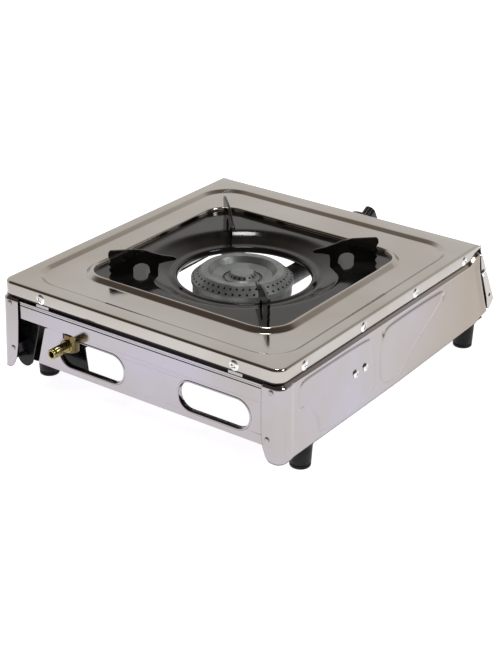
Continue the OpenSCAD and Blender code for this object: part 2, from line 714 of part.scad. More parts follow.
module knob() color([0.06, 0.06, 0.07]) valve_axis() difference() {
    union() {
        rotate_extrude($fn = 72)
            polygon([
                [0, skirt_z + 4], [skirt_r - 3, skirt_z + 4], [skirt_r - 2.4, skirt_z], [skirt_r, skirt_z],
                [skirt_r, skirt_z + 1.5], [skirt_r - 2, skirt_z + 5.5], [16, skirt_z + 8], [0, skirt_z + 8]
            ]);
        cylinder_z(6.5, skirt_z, skirt_z + 5);
        cylinder_z(15.5, skirt_z + 6, skirt_z + 9);
        translate([0, 0, skirt_z + 7]) linear_extrude(grip_z - skirt_z - 7) stadium_y(28, 13);
    }
    d_shaft(spindle_r, spindle_flat, skirt_z - 1, 23);
}

module stadium_y(length, width) rotate(90) stadium(length, width);

module knob_bezel() color([0.15, 0.15, 0.16]) valve_axis() difference() {
    cylinder_z(19, 0.02, 0.8);
    cylinder_z(8, -1, 2);
}

// ---------- fasteners ----------

module flange_screws() color([0.8, 0.8, 0.82]) {
    for (side = [-1, 1], y = side_screw_y) on_side(side)
        translate([body_w / 2 + 0.02, y, side_screw_z]) rotate([0, 90, 0]) pan_screw(flange_head_r, 2.5, 2, 6);
    for (side = [-1, 1])
        translate([side * back_screw_x, body_d / 2 + 0.02, side_screw_z]) rotate([-90, 0, 0])
            pan_screw(flange_head_r, 2.5, 2, 6);
}

module support_bar_screws() color([0.8, 0.8, 0.82])
    for (side = [-1, 1], y = bar_screw_y) on_side(side)
        translate([flare_x(bar_screw_z) + 0.12, y, bar_screw_z]) rotate([0, 90, 0]) pan_screw(4, 2, 2, 8);

module corner_rivets() color([0.8, 0.8, 0.82])
    for (side = [-1, 1], p = rivets)
        translate([side * p[0], skin_back + lean(p[1]) + 0.1, p[1]]) rotate([-90, 0, 0]) pan_screw(3.2, 1.2, 2, 7);

module front_panel_screws() color([0.8, 0.8, 0.82])
    for (side = [-1, 1]) on_side(side)
        translate([front_w / 2 + 0.02, front_screw[0], front_screw[1]]) rotate([0, 90, 0]) pan_screw(4, 2, 2, 6);

// ---------- nodes ----------

place() top_cover();
place() side_panel(-1);  // side_panel_left
place() side_panel(1);  // side_panel_right
place() back_panel();
place() front_panel();
place() drip_tray();
for (i = [1:FINS]) place() pan_support_fin(i);
place() burner_ring_cap();
place() burner_centre_cap();
place() burner_bowl();
place() mixing_tube();
place() air_shutter();
place() burner_support_bar();
place() burner_screw();
for (c = CORNERS) place() foot_at(c);
place() foot_screws();
place() foot_nuts();
place() corner_gusset();
place() gas_pipe();
place() pipe_nut();
place() inlet_elbow();
place() hose_nozzle();
place() inlet_bracket();
place() valve_body();
place() valve_cap_plate();
place() valve_clamp();
place() valve_screws();
place() valve_plug();
place() valve_spindle();
place() valve_spring();
place() jet();
place() knob();
place() knob_bezel();
place() flange_screws();
place() support_bar_screws();
place() corner_rivets();
place() front_panel_screws();
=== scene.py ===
import math
import bpy
from mathutils import Matrix, Vector


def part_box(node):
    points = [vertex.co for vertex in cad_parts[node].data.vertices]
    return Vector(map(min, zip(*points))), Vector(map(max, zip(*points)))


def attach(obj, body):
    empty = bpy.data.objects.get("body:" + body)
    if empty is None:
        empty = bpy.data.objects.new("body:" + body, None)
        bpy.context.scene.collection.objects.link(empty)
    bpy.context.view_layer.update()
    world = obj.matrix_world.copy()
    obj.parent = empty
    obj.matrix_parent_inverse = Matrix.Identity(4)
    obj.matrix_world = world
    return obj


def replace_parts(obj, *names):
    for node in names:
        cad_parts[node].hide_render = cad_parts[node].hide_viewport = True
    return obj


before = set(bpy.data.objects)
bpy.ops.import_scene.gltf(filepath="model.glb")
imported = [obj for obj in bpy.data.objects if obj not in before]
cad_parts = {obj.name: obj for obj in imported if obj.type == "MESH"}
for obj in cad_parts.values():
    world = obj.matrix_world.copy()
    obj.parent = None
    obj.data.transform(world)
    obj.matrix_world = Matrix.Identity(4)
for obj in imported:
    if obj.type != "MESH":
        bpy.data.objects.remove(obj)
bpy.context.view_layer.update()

MM = 0.001
# The body's own frame is centred on the top cover. Its back edge lies 181 mm behind the centre.
SHIFT_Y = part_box("top_cover")[1].y / MM - 181.0

# Body sizes, in millimetres
HALF_W = 165.0
BACK_Y = 181.0
TOP = 120.0
FLANGE = 13.5
TILT = math.radians(29.6)
FRONT_EDGE = -185.6
BEND_R = 9.0
FOLD_R = 1.7
RECESS = 3.0
SHEET = 1.0
HOB_Y = 4.0
FIELD_X = 153.0
FIELD_Y = 163.5
FIELD_R = 36.0
LIP_W = 245.0
LIP_R = 34.0
DISH_R = 100.0
HOLE_R = 69.0

# The rise beside the front bend: its height, where it starts and how far it runs
LIFT = 8.0
LIFT_FROM = -163.0
LIFT_RUN = 20.0

# Side panel sizes
SKIN_X = 168.0
SKIN_TOP = 101.6
SKIN_BACK = 182.5
WRAP_R = 9.0
FLARE = math.tan(math.radians(1.2))
SKIRT = 26.8
SHOULDER_Z = 105.6

# Back slots
SLOT_Z = 62.0
SLOT_W = 82.0
SLOT_H = 30.0
SLOT_BACK = 177.5

# Screws of the flange and of the burner's support bar
SCREW_Z = TOP - 7.5
BAR_Y = 50.0
BAR_Z = 70.0
BAR_APART = 8.7

# The drip tray's brim
BRIM_Z = 116.0


# ---------- mesh helpers ----------

def make_mesh(name, verts, faces, look, smooth=30.0):
    """A piece from points in the body's own frame, in millimetres."""
    mesh = bpy.data.meshes.new(name)
    mesh.from_pydata([(x * MM, (y + SHIFT_Y) * MM, z * MM) for x, y, z in verts], [], faces)
    mesh.validate()
    mesh.shade_smooth()
    mesh.set_sharp_from_angle(angle=math.radians(smooth))
    mesh.materials.append(look)
    piece = bpy.data.objects.new(name, mesh)
    bpy.context.scene.collection.objects.link(piece)
    return piece


def add(piece, body, slot, *replaced):
    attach(piece, body)
    if replaced:
        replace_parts(piece, *replaced)
    return piece


def bridge(rings, closed=True, cap_end=False):
    """Faces and points of a surface through rings that all have the same number of points."""
    n = len(rings[0])
    verts = [p for ring in rings for p in ring]
    faces = []
    for i in range(len(rings) - 1):
        for j in range(n if closed else n - 1):
            k = (j + 1) % n
            faces.append((i * n + j, i * n + k, (i + 1) * n + k, (i + 1) * n + j))
    if cap_end:
        faces.append(tuple(range((len(rings) - 1) * n, len(rings) * n)))
    return verts, faces


def merge(parts):
    """One list of points and faces from several."""
    verts, faces = [], []
    for part_verts, part_faces in parts:
        start = len(verts)
        verts += part_verts
        faces += [tuple(i + start for i in face) for face in part_faces]
    return verts, faces


def moved(part, matrix):
    return [tuple(matrix @ Vector(p)) for p in part[0]], part[1]


def lathe(profile, sides=64):
    """A turned shape about Z, from a profile of radii and heights."""
    turns = [2 * math.pi * k / sides for k in range(sides)]
    rings = [[(r * math.cos(a), r * math.sin(a), z) for a in turns] for r, z in profile]
    return bridge(rings)


def thicken(piece, depth, offset=-1.0):
    solid = piece.modifiers.new("sheet", "SOLIDIFY")
    solid.thickness = depth * MM
    solid.offset = offset
    return piece


def soften(piece, width, segments=2):
    """Rounds a piece's hard edges, as a press or a casting does."""
    weld = piece.modifiers.new("weld", "WELD")
    weld.merge_threshold = 1e-6
    bevel = piece.modifiers.new("edges", "BEVEL")
    bevel.width = width * MM
    bevel.segments = segments
    bevel.limit_method = "ANGLE"
    bevel.angle_limit = math.radians(35)
    bevel.use_clamp_overlap = True
    flat = piece.modifiers.new("normals", "WEIGHTED_NORMAL")
    flat.keep_sharp = True
    return piece


def smooth_step(t):
    t = min(max(t, 0.0), 1.0)
    return t * t * (3 - 2 * t)


# ---------- outlines ----------

CORNER_STEPS = 12
# Places along an edge, closer together towards the front end of the sides
EDGE_STEPS = [k / 16 for k in range(1, 15)] + [0.91, 0.93, 0.945, 0.957, 0.967, 0.976, 0.984, 0.991]


def box_ring(x, back, front, back_r, front_r, z_side, z_front=None):
    """A ring round a rectangle with round corners. It starts at the right back corner and runs to the
    left, the front and the right. The front edge may have its own height."""
    z_front = z_side if z_front is None else z_front
    corners = [
        (x - back_r, back - back_r, back_r, 0, z_side, z_side),
        (-x + back_r, back - back_r, back_r, 90, z_side, z_side),
        (-x + front_r, front + front_r, front_r, 180, z_side, z_front),
        (x - front_r, front + front_r, front_r, 270, z_front, z_side),
    ]
    arcs = []
    for cx, cy, r, start, z0, z1 in corners:
        arc = []
        for i in range(CORNER_STEPS + 1):
            t = i / CORNER_STEPS
            a = math.radians(start + 90 * t)
            arc.append((cx + r * math.cos(a), cy + r * math.sin(a), z0 + (z1 - z0) * smooth_step(t)))
        arcs.append(arc)
    ring = []
    for i, arc in enumerate(arcs):
        ring += arc
        a, b = Vector(arc[-1]), Vector(arcs[(i + 1) % 4][0])
        steps = [1 - t for t in reversed(EDGE_STEPS)] if i == 3 else EDGE_STEPS
        ring += [tuple(a.lerp(b, t)) for t in steps]
    return ring


def square_ring(half, r, z):
    return box_ring(half, HOB_Y + half, HOB_Y - half, r, r, z)


def round_ring(radius, z, like):
    """A circle whose points lie in the same directions as those of another ring."""
    ring = []
    for x, y, _ in like:
        a = math.atan2(y - HOB_Y, x)
        ring.append((radius * math.cos(a), HOB_Y + radius * math.sin(a), z))
    return ring


# ---------- materials ----------

def shader(name, metallic):
    look = bpy.data.materials.new(name)
    look.use_nodes = True
    surface = look.node_tree.nodes["Principled BSDF"]
    surface.inputs["Metallic"].default_value = metallic
    return look, surface


def noise(look, scale, detail=3.0, stretch=(1, 1, 1)):
    tree = look.node_tree
    place = tree.nodes.new("ShaderNodeTexCoord")
    mapping = tree.nodes.new("ShaderNodeMapping")
    mapping.inputs["Scale"].default_value = stretch
    grain = tree.nodes.new("ShaderNodeTexNoise")
    grain.inputs["Scale"].default_value = scale
    grain.inputs["Detail"].default_value = detail
    tree.links.new(place.outputs["Object"], mapping.inputs["Vector"])
    tree.links.new(mapping.outputs["Vector"], grain.inputs["Vector"])
    return grain.outputs["Fac"]


def blend_colours(look, surface, factor, first, second, low=0.35, high=0.65):
    ramp = look.node_tree.nodes.new("ShaderNodeValToRGB")
    ramp.color_ramp.elements[0].position = low
    ramp.color_ramp.elements[0].color = (*first, 1)
    ramp.color_ramp.elements[1].position = high
    ramp.color_ramp.elements[1].color = (*second, 1)
    look.node_tree.links.new(factor, ramp.inputs["Fac"])
    look.node_tree.links.new(ramp.outputs["Color"], surface.inputs["Base Color"])


def vary_roughness(look, surface, factor, low, high):
    span = look.node_tree.nodes.new("ShaderNodeMapRange")
    span.inputs["From Min"].default_value = 0.3
    span.inputs["From Max"].default_value = 0.7
    span.inputs["To Min"].default_value = low
    span.inputs["To Max"].default_value = high
    look.node_tree.links.new(factor, span.inputs["Value"])
    look.node_tree.links.new(span.outputs["Result"], surface.inputs["Roughness"])


def bump(look, surface, factor, depth, strength=1.0, under=None):
    node = look.node_tree.nodes.new("ShaderNodeBump")
    node.inputs["Distance"].default_value = depth * MM
    node.inputs["Strength"].default_value = strength
    look.node_tree.links.new(factor, node.inputs["Height"])
    if under is not None:
        look.node_tree.links.new(under, node.inputs["Normal"])
    look.node_tree.links.new(node.outputs["Normal"], surface.inputs["Normal"])
    return node.outputs["Normal"]


def paint_over(look, surface, colour, mask):
    """Turns the colour towards another one where the mask is up."""
    tree = look.node_tree
    mix = tree.nodes.new("ShaderNodeMix")
    mix.data_type = "RGBA"
    mix.inputs["B"].default_value = (*colour, 1)
    tree.links.new(mask, mix.inputs["Factor"])
    tree.links.new(surface.inputs["Base Color"].links[0].from_socket, mix.inputs["A"])
    tree.links.new(mix.outputs["Result"], surface.inputs["Base Color"])


def along_axis(look, axis, start, end):
    """A mask that rises from one place along the object to another."""
    tree = look.node_tree
    place = tree.nodes.new("ShaderNodeTexCoord")
    split = tree.nodes.new("ShaderNodeSeparateXYZ")
    reach = tree.nodes.new("ShaderNodeMapRange")
    reach.inputs["From Min"].default_value = start
    reach.inputs["From Max"].default_value = end
    tree.links.new(place.outputs["Object"], split.inputs["Vector"])
    tree.links.new(split.outputs[axis], reach.inputs["Value"])
    return reach.outputs["Result"]


def dull_and_shade_inside(look, surface, walls):
    """The sheet's inner face has no polish and is darkened with painted shade: underneath and, on walls,
    towards the middle."""
    tree = look.node_tree

    def node(kind, operation=None):
        made = tree.nodes.new(kind)
        if operation:
            made.operation = operation
        return made

    geometry = node("ShaderNodeNewGeometry")
    split = node("ShaderNodeSeparateXYZ")
    under = node("ShaderNodeMath", "MULTIPLY")
    under.inputs[1].default_value = -1.0
    tree.links.new(geometry.outputs["Normal"], split.inputs["Vector"])
    tree.links.new(split.outputs["Z"], under.inputs[0])
    inward = under.outputs["Value"]
    if walls:
        place = node("ShaderNodeTexCoord")
        level = node("ShaderNodeVectorMath", "MULTIPLY")
        level.inputs[1].default_value = (-1, -1, 0)
        unit = node("ShaderNodeVectorMath", "NORMALIZE")
        facing = node("ShaderNodeVectorMath", "DOT_PRODUCT")
        either = node("ShaderNodeMath", "MAXIMUM")
        tree.links.new(place.outputs["Object"], level.inputs[0])
        tree.links.new(level.outputs["Vector"], unit.inputs[0])
        tree.links.new(geometry.outputs["Normal"], facing.inputs[0])
        tree.links.new(unit.outputs["Vector"], facing.inputs[1])
        tree.links.new(facing.outputs["Value"], either.inputs[0])
        tree.links.new(inward, either.inputs[1])
        inward = either.outputs["Value"]
    step = node("ShaderNodeMapRange")
    step.inputs["From Min"].default_value = 0.3
    step.inputs["From Max"].default_value = 0.45
    tree.links.new(inward, step.inputs["Value"])
    # Painted shade: the inner faces turn near black; the higher roughness is their unpolished finish.
    for socket, value in (("Base Color", (0.035, 0.033, 0.03, 1)), ("Roughness", 0.6)):
        mix = node("ShaderNodeMix")
        mix.data_type = "RGBA" if socket == "Base Color" else "FLOAT"
        ends = [i for i in mix.inputs if i.name in "AB" and i.enabled]
        tree.links.new(surface.inputs[socket].links[0].from_socket, ends[0])
        ends[1].default_value = value
        tree.links.new(step.outputs["Result"], mix.inputs["Factor"])
        tree.links.new([o for o in mix.outputs if o.enabled][0], surface.inputs[socket])


def polished_steel(name, first, second, rough=(0.08, 0.15), grain=(1, 30, 30), front=None, walls=False):
    look, surface = shader(name, 1.0)
    blend_colours(look, surface, noise(look, 9, 4), first, second)
    # The front colour is a painted reflection: the steel turns darker and browner towards the front.
    if front:
        paint_over(look, surface, front, along_axis(look, "Y", 0.02, -0.15))
    vary_roughness(look, surface, noise(look, 60, 5, grain), *rough)
    waves = bump(look, surface, noise(look, 11, 1), 0.9, 0.35)
    bump(look, surface, noise(look, 220, 4, grain), 0.01, 0.35, waves)
    dull_and_shade_inside(look, surface, walls)
    return look


def enamel():
    look, surface = shader("black_enamel", 0.0)
    surface.inputs["IOR"].default_value = 1.36
    blend_colours(look, surface, noise(look, 45, 4), (0.006, 0.006, 0.006), (0.014, 0.013, 0.012))
    vary_roughness(look, surface, noise(look, 160, 4), 0.07, 0.13)
    bump(look, surface, noise(look, 260, 2), 0.05, 0.25)
    return look


def turned(name, first, second, rough, metallic=1.0, pitch=1600.0, depth=0.02):
    """Metal with the fine rings of a lathe tool."""
    look, surface = shader(name, metallic)
    blend_colours(look, surface, noise(look, 60, 5), first, second)
    vary_roughness(look, surface, noise(look, 300, 3), *rough)
    bump(look, surface, noise(look, pitch, 2, (0.4, 0.4, 1)), depth, 0.5)
    return look


def cast(name, first, second, rough, metallic, grain=900.0, depth=0.08, ior=1.45):
    look, surface = shader(name, metallic)
    surface.inputs["IOR"].default_value = ior
    blend_colours(look, surface, noise(look, 120, 5), first, second)
    vary_roughness(look, surface, noise(look, 400, 3), *rough)
    bump(look, surface, noise(look, grain, 4), depth, 0.6)
    return look


LOOKS = {
    "polished_steel": polished_steel("polished_steel", (0.41, 0.385, 0.35), (0.47, 0.45, 0.43)),
    # side_steel's front colour is a painted reflection, darker and browner towards the front.
    "side_steel": polished_steel(
        "side_steel", (0.39, 0.365, 0.345), (0.415, 0.4, 0.455), front=(0.31, 0.27, 0.225), walls=True),
    "front_steel": polished_steel("front_steel", (0.41, 0.385, 0.35), (0.47, 0.45, 0.43), walls=True),
    "black_enamel": enamel(),
    "burner_grey": turned("burner_grey", (0.195, 0.21, 0.208), (0.265, 0.28, 0.272), (0.38, 0.52), 0.7),
    "cast_body": cast("cast_body", (0.16, 0.16, 0.16), (0.26, 0.26, 0.25), (0.5, 0.75), 0.6),
    "zinc_plate": cast("zinc_plate", (0.55, 0.55, 0.54), (0.68, 0.68, 0.66), (0.28, 0.45), 1.0, 200.0, 0.02),
    "bright_fastener": cast(
        "bright_fastener", (0.72, 0.72, 0.72), (0.84, 0.84, 0.85), (0.1, 0.24), 1.0, 500.0, 0.02),
    "rivet_steel": cast("rivet_steel", (0.3, 0.29, 0.28), (0.44, 0.43, 0.42), (0.28, 0.4), 1.0, 300.0, 0.04),
    "foot_rubber": cast(
        "foot_rubber", (0.004, 0.004, 0.005), (0.012, 0.012, 0.013), (0.4, 0.6), 0.0, ior=1.25),
    "black_paint": cast(
        "black_paint", (0.004, 0.004, 0.005), (0.01, 0.01, 0.011), (0.12, 0.22), 0.0, 60.0, 0.5, 1.28),
    "brass": turned("brass", (0.28, 0.235, 0.09), (0.42, 0.36, 0.16), (0.16, 0.34)),
    # Painted shade: a darker copy of the brass for the parts inside, which mirror the dark interior.
    "shaded_brass": turned("shaded_brass", (0.13, 0.095, 0.045), (0.24, 0.18, 0.08), (0.25, 0.4)),
    "pipe_metal": turned("pipe_metal", (0.56, 0.55, 0.52), (0.68, 0.67, 0.64), (0.28, 0.42)),
    "black_knob": cast(
        "black_knob", (0.01, 0.01, 0.011), (0.022, 0.022, 0.024), (0.2, 0.34), 0.0, 700.0, 0.02, 1.3),
}


# ---------- top cover ----------

def front_y(z, inset=0.0):
    return FRONT_EDGE - (TOP - z) * math.tan(TILT) + inset / math.cos(TILT)


BEND = (FRONT_EDGE + BEND_R * math.tan((math.pi / 2 - TILT) / 2), TOP - BEND_R)


def top_line(y):
    """Height of the cover's top over a place, down the round bend at the front."""
    if y >= BEND[0]:
        return TOP
    if y > BEND[0] - BEND_R * math.cos(TILT):
        return BEND[1] + math.sqrt(BEND_R ** 2 - (y - BEND[0]) ** 2)
    return TOP - (FRONT_EDGE - y) / math.tan(TILT)


def lift_at_front(y):
    """How far the flange's lower edge and the side panels rise where they reach the front bend."""
    return LIFT * smooth_step((LIFT_FROM - y) / LIFT_RUN)


def cover():
    low = TOP - FLANGE
    rings = []
    for height in (low, low + 3):
        ring = box_ring(HALF_W, BACK_Y, front_y(height), 10, 1.2, height)
        rings.append([(x, y, z + (lift_at_front(y) if abs(x) > HALF_W - 0.01 else 0)) for x, y, z in ring])
    folds = 8
    for i in range(folds + 1):
        t = i / folds
        side = math.pi / 2 * t
        inset = FOLD_R * (1 - math.cos(side))
        z_side = TOP - FOLD_R * (1 - math.sin(side))
        around = math.pi - TILT + (TILT - math.pi / 2) * t
        y = BEND[0] + BEND_R * math.cos(around)
        z_front = BEND[1] + BEND_R * math.sin(around)
        ring = box_ring(HALF_W - inset, BACK_Y - inset, y, 10 - inset, 1.4, z_side, z_front)
        rings.append([(px, py, min(pz, top_line(py))) for px, py, pz in ring])
    rings.append(box_ring(HALF_W - 4, BACK_Y - 4, -174, 12, 6, TOP))
    for out, drop in ((1.6, 0), (0.4, 0.06), (-0.6, 0.4), (-4.4, 2.6), (-5.4, 2.94), (-6.6, RECESS)):
        r = FIELD_R + out
        rings.append(box_ring(FIELD_X + out, FIELD_Y + out, -FIELD_Y - out, r, r, TOP - drop))
    lip = (
        (14, -3), (3.4, -3), (1.3, -2.97), (0.3, -2.7), (-0.6, -2.1), (-3.6, 0.35), (-4.4, 0.92),
        (-5.1, 1.18), (-5.7, 1.18), (-6.2, 0.85), (-6.45, 0.2), (-6.5, -0.6), (-6.5, -3.4), (-6.9, -4.6),
        (-7.9, -5), (-12.5, -5),
    )
    for out, rise in lip:
        rings.append(square_ring(LIP_W / 2 + out, LIP_R + out, TOP + rise))
    piece = make_mesh("cover", *bridge(rings), LOOKS["polished_steel"], 60)
    thicken(piece, SHEET, 1.0)
    return add(piece, "chassis", "polished_steel", "top_cover")


# ---------- side panels ----------

# Heights and places of the side panel's front edge
FRONT_FOOT = 37.0
FRONT_RUN = [(FRONT_FOOT, -209.0), (47.0, -204.0), (88.0, -186.5), (SKIN_TOP, -184.4)]
# The rough outlines of the two raised panels, as places and heights, and the dents beside them
PANEL_A = [
    (31, 98), (142, 98.6), (149, 97), (154, 92), (153.4, 75), (149, 70.5), (141, 69.5), (134, 66), (126, 57),
    (121, 47), (119.5, 35), (112, 33), (40, 33), (27, 40), (22, 60), (30, 80), (33, 91),
]
PANEL_B = [
    (12, 84), (4, 95), (-8, 97), (-104, 97), (-114, 92), (-106, 86), (-40, 49), (-32, 38), (-20, 34),
    (4, 36), (13, 50),
]
PITS = [(146.5, 71, 3.4, 1.9, 1.6), (-109, 89.5, 3.2, 3.2, 1.2), (8, 92, 1.6, 3.0, 1.0)]


def along(points, value):
    """A height or place on a line through points that are sorted by their first number."""
    if value <= points[0][0]:
        return points[0][1]
    for (a, b), (c, d) in zip(points, points[1:]):
        if value <= c:
            return b + (d - b) * (value - a) / (c - a)
    return points[-1][1]


def round_corners(points):
    """Corner cutting: turns a rough closed outline into a smooth one."""
    for _ in range(2):
        closer = []
        for (ax, ay), (bx, by) in zip(points, points[1:] + points[:1]):
            closer.append((ax * 0.75 + bx * 0.25, ay * 0.75 + by * 0.25))
            closer.append((ax * 0.25 + bx * 0.75, ay * 0.25 + by * 0.75))
        points = closer
    return points


def distance_to(outline, x, y):
    best = 1e9
    for (ax, ay), (bx, by) in outline:
        dx, dy = bx - ax, by - ay
        t = ((x - ax) * dx + (y - ay) * dy) / (dx * dx + dy * dy)
        t = min(max(t, 0.0), 1.0)
        best = min(best, (x - ax - dx * t) ** 2 + (y - ay - dy * t) ** 2)
    return math.sqrt(best)


def segments(points):
    return list(zip(points, points[1:] + points[:1]))


def inside(outline, x, y):
    hit = False
    for (ax, ay), (bx, by) in outline:
        if (ay > y) != (by > y) and x < (bx - ax) * (y - ay) / (by - ay) + ax:
            hit = not hit
    return hit


def side_emboss():
    """How deep the side panel's skin lies under its outer face: each panel stands proud of the rest."""
    outlines = [segments(round_corners(p)) for p in (PANEL_A, PANEL_B)]

    def depth(y, z):
        signed = 9.0
        for outline in outlines:
            d = distance_to(outline, y, z)
            signed = min(signed, -d if inside(outline, y, z) else d)
        pit = sum(deep * math.exp(-((y - cy) / wy) ** 2 - ((z - cz) / wz) ** 2)
                  for cy, cz, wy, wz, deep in PITS)
        groove = 0.3 * math.exp(-(signed - 1.8) ** 2)
        return 0.95 * smooth_step((signed + 1.4) / 2.8) + groove + pit
    return depth


def flare(z):
    """How far the side panels have spread at a height, below their top edge."""
    return (SKIN_TOP - z) * FLARE


def side_panel(side, name):
    depth = side_emboss()
    corner_y = SKIN_BACK - WRAP_R
    corner_x = SKIN_X - WRAP_R
    columns = 250
    rows = 56
    turn = 12
    wrap = 8
    grid = []
    for j in range(rows + 1):
        v = j / rows
        row = []
        z_front = FRONT_FOOT + (SKIN_TOP - FRONT_FOOT) * v
        y_front = along(FRONT_RUN, z_front)
        for i in range(columns + 1):
            y = y_front + (corner_y - y_front) * i / columns
            low = along([(-209, FRONT_FOOT), (-185, 30), (-20, SKIRT), (200, SKIRT)], y)
            top = SKIN_TOP + lift_at_front(y)
            z = low + (top - low) * v
            fade = smooth_step((corner_y - 6 - y) / 8) * smooth_step((y - y_front) / 10)
            x = SKIN_X + flare(min(z, SKIN_TOP)) - depth(y, z) * fade
            row.append((x, y, z))
        for i in range(1, turn + 1):
            a = math.pi / 2 * i / turn
            low = SKIRT + 1.2 * smooth_step((i - turn / 2) / (turn / 2))
            z = low + (SKIN_TOP - low) * v
            r = WRAP_R + flare(z)
            row.append((corner_x + r * math.cos(a), corner_y + r * math.sin(a), z))
        for i in range(1, wrap + 1):
            t = i / wrap
            low = along([(0, 28), (0.35, 28.6), (0.6, 30.5), (0.8, 34), (1.0, 41)], t)
            z = low + (SKIN_TOP - low) * v
            edge = along([(28, 153), (33, 151), (55, 147.5), (80, 146.3), (102, 146)], z)
            x = corner_x + (edge - corner_x) * t
            row.append((x, SKIN_BACK + flare(z), z))
        grid.append(row)
    shoulder = [(8.4, 102.5), (7.2, 103.6), (5.6, 104.9), (4.9, SHOULDER_Z), (4.9, 110), (4.9, 116)]
    top = grid[-1]
    for reach, z in shoulder:
        row = []
        for i, (x, y, _) in enumerate(top):
            pull = reach if z <= SHOULDER_Z else 3.4
            if i <= columns:
                row.append((corner_x + reach, y, min(z + lift_at_front(y), top_line(y) - 1.6)))
            elif i <= columns + turn:
                a = math.pi / 2 * (i - columns) / turn
                row.append((corner_x + pull * math.cos(a), corner_y + pull * math.sin(a), min(z, SHOULDER_Z)))
            else:
                row.append((x, corner_y + pull, min(z, SHOULDER_Z)))
        grid.append(row)
    verts, faces = bridge(grid, closed=False)
    if side < 0:
        verts = [(-x, y, z) for x, y, z in verts]
    else:
        faces = [tuple(reversed(f)) for f in faces]
    piece = make_mesh(name, verts, faces, LOOKS["side_steel"], 50)
    thicken(piece, SHEET, 1.0)
    return add(piece, "chassis", "polished_steel")


# ---------- tray ----------

def tray():
    rings = []
    start = LIP_W / 2 - 7
    for out, rise in ((0.2, -0.1), (0.2, 0.4), (-0.6, 0.9), (-2.5, 0.3), (-5, 0)):
        rings.append(square_ring(start + out, 26 + out, BRIM_Z + rise))
    like = rings[-1]
    target = round_ring(DISH_R + 2.5, BRIM_Z, like)
    for t in (0.35, 0.7):
        rings.append([tuple(Vector(a).lerp(Vector(b), t)) for a, b in zip(like, target)])
    dish = (
        (DISH_R + 2.5, BRIM_Z), (DISH_R + 0.8, 115.98), (DISH_R - 1.2, 115.6), (DISH_R - 3.2, 114.9),
        (92, 112.2), (86, 110.0), (82, 108.5), (79.5, 107.6), (77.5, 107.25), (75.6, 107.3), (74.2, 107.7),
        (73.0, 108.3), (71.6, 108.6), (70.2, 108.3), (HOLE_R + 0.3, 107.5), (HOLE_R, 106.4), (HOLE_R, 103.1),
    )
    for r, z in dish:
        rings.append(round_ring(r, z, like))
    piece = make_mesh("tray", *bridge(rings), LOOKS["black_enamel"], 60)
    thicken(piece, SHEET * 0.95, 1.0)
    sub = piece.modifiers.new("smooth", "SUBSURF")
    sub.levels = 1
    sub.render_levels = 1
    return add(piece, "tray", "black_enamel", "drip_tray")


# ---------- fasteners ----------

def screw_head(radius, height, cross=True):
    """A pan head with a cross recess, standing on z = 0."""
    rings_at = [1.0, 0.985, 0.94, 0.86, 0.76, 0.66, 0.56, 0.46, 0.36, 0.27, 0.18, 0.1, 0.04]
    sides = 48
    rings = [[(radius * math.cos(2 * math.pi * k / sides), radius * math.sin(2 * math.pi * k / sides), 0.0)
              for k in range(sides)]]
    for q in rings_at:
        ring = []
        for k in range(sides):
            a = 2 * math.pi * k / sides
            x, y = q * math.cos(a), q * math.sin(a)
            z = height * (0.42 + 0.58 * (1 - q ** 2.6))
            if cross:
                arm = min(abs(x), abs(y))
                reach = max(abs(x), abs(y))
                cut = (1 - smooth_step((arm - 0.09) / 0.06)) * (1 - smooth_step((reach - 0.46) / 0.1))
                z -= cut * height * 0.42
            ring.append((radius * x, radius * y, z))
        rings.append(ring)
    return bridge(rings, cap_end=True)


def screws(name, node, places, radius, height, cross=True):
    """places holds (point, direction, turn in degrees)."""
    parts = []
    for point, direction, turn in places:
        frame_of = Vector(direction).to_track_quat("Z", "Y").to_matrix().to_4x4()
        spin = Matrix.Rotation(math.radians(turn), 4, "Z")
        parts.append(moved(screw_head(radius, height, cross), Matrix.Translation(point) @ frame_of @ spin))
    piece = make_mesh(name, *merge(parts), LOOKS["bright_fastener" if cross else "rivet_steel"], 50)
    return add(piece, "chassis", "bright_fastener", node)


def all_screws():
    side_y = [143, 43, -54, -154]
    flange = [((s * (HALF_W + 0.02), y, SCREW_Z), (s, 0, 0), 20 + 37 * i)
              for s in (-1, 1) for i, y in enumerate(side_y)]
    flange += [((s * 115.7, BACK_Y + 0.02, SCREW_Z), (0, 1, 0), 30 * s) for s in (-1, 1)]
    screws("flange_screw_heads", "flange_screws", flange, 5.3, 2.45)
    at = SKIN_X + flare(BAR_Z)
    bar = [((s * (at + 0.1), BAR_Y + d, BAR_Z), (s, 0, 0), 25 + 5 * d)
           for s in (-1, 1) for d in (-BAR_APART, BAR_APART)]
    screws("bar_screw_heads", "support_bar_screws", bar, 4.0, 2.0)
    front = [((s * 166.52, -199.4, 83.8), (s, 0, 0), 12) for s in (-1, 1)]
    screws("front_screw_heads", "front_panel_screws", front, 4.0, 2.0)
    rivets = [((s * x, SKIN_BACK + flare(z) + 0.1, z), (0, 1, 0), 0)
              for s in (-1, 1) for x, z in ((156.6, 98), (154, 50))]
    screws("corner_rivet_heads", "corner_rivets", rivets, 2.7, 1.1, False)


# ---------- feet ----------

